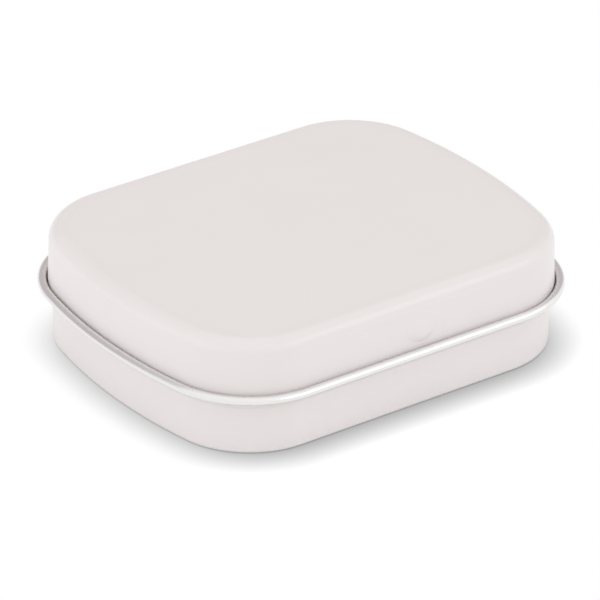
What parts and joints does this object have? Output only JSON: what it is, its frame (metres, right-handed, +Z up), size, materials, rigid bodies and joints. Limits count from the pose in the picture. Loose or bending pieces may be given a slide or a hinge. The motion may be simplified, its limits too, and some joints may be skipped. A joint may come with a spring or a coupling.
{
  "type": "mint tin",
  "caption": "Small hinged tin with rounded corners: a drawn tray with a rolled bare rim and a lid that drops inside the rim and turns on a wire hinge.",
  "frame": {"origin": "middle of the underside, on the surface that the tin stands on", "axes": "+Z up, X along the long sides, the thumb bump's side (front) at -Y, the hinge at +Y"},
  "size_m": [0.06, 0.0488, 0.0154],
  "materials": {
    "tray_enamel": "warm white enamel outside, bare bright tinplate inside and on the rolled rim",
    "lid_enamel": "warm white enamel outside, bare bright tinplate inside",
    "steel_wire": "drawn steel wire"
  },
  "bodies": {
    "tray": {"base_tray": "tray_enamel", "hinge_wire": "steel_wire"},
    "lid": {"lid": "lid_enamel"}
  },
  "joints": [
    {"name": "lid_hinge", "type": "hinge", "parent": "tray", "child": "lid", "pos_m": [0, 0.02382, 0.008], "axis": [-1, 0, 0], "range_deg": [0, 180]}
  ]
}
